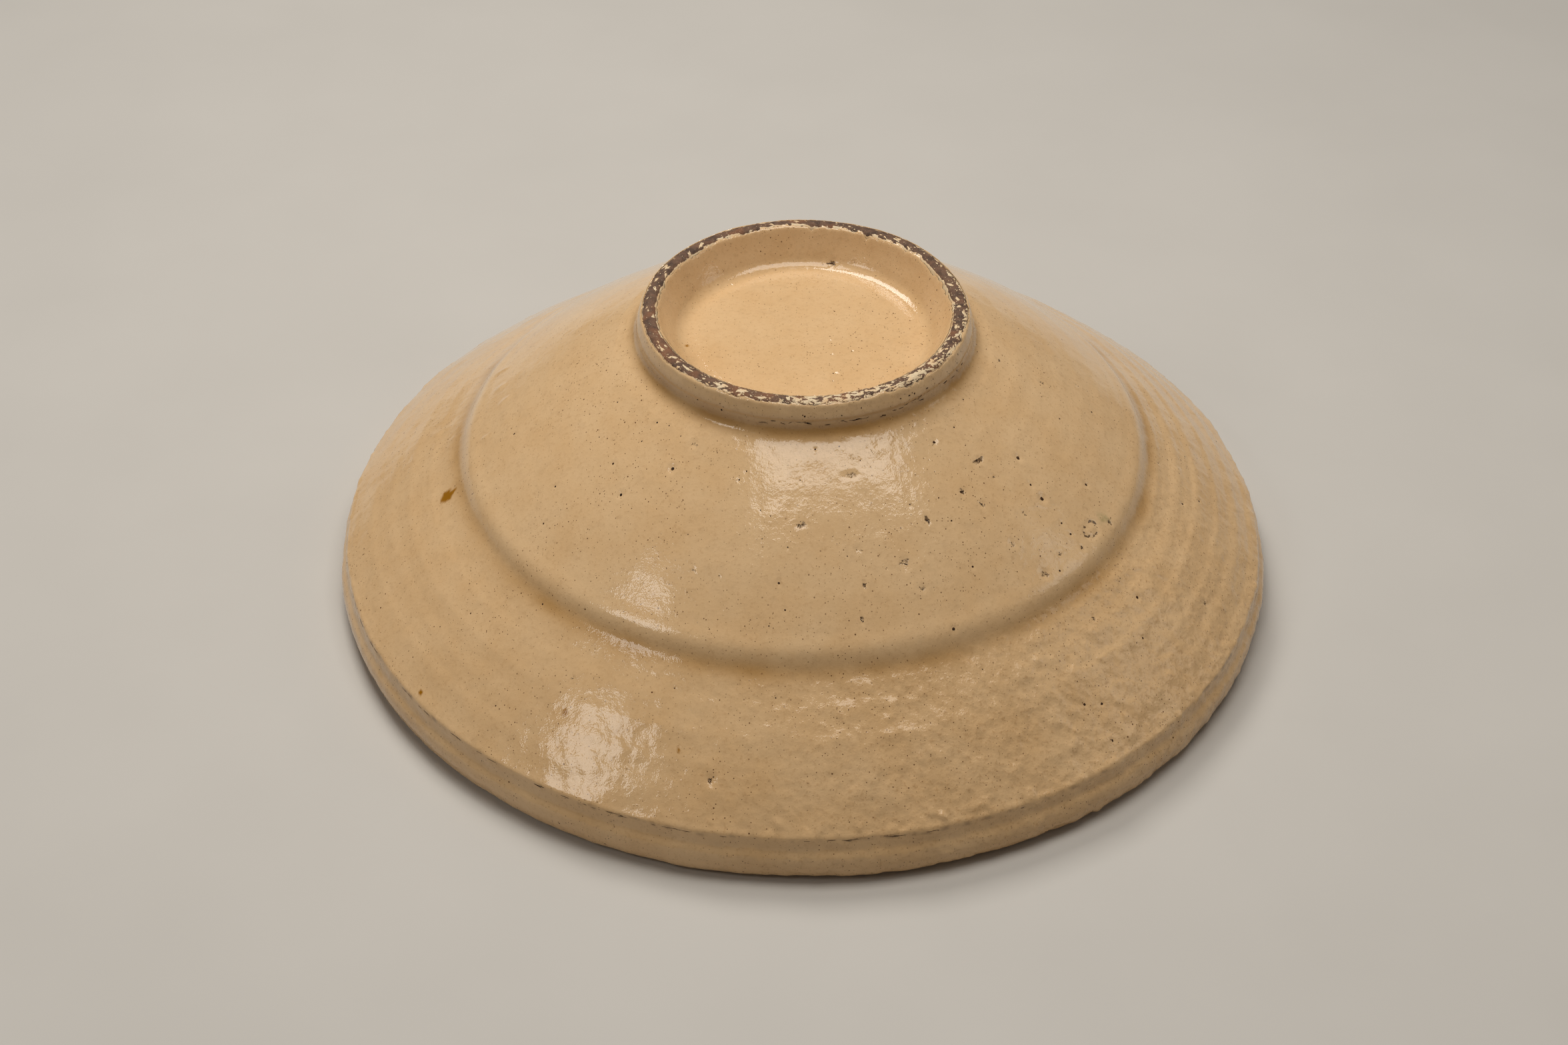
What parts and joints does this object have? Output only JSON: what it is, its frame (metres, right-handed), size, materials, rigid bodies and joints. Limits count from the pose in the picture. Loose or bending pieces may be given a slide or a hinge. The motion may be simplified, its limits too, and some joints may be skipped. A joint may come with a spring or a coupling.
{
  "type": "stoneware dish",
  "caption": "Wide thrown stoneware dish standing upside down on its rim, its foot ring on top, with white slip and glossy cream glaze over dark clay.",
  "frame": {"origin": "on the dish's axis, in the plane that its rim stands on", "axes": "+Z along the axis from the rim towards the foot ring, with the dish upside down; X and Y are any two level directions"},
  "size_m": [0.27, 0.27, 0.087],
  "materials": {
    "clay": "bare fired iron-rich stoneware, matt and gritty",
    "slip": "thin off-white slip, matt",
    "glaze": "glossy cream glaze with iron specks and pinholes"
  },
  "bodies": {
    "root": {"dish_wall": "clay", "foot_ring": "clay", "rim_band": "clay", "well_slip": "slip", "back_slip": "slip", "rim_slip": "slip", "bowl_slip": "slip", "well_glaze": "glaze", "back_glaze": "glaze", "rim_glaze": "glaze", "bowl_glaze": "glaze"}
  },
  "joints": []
}
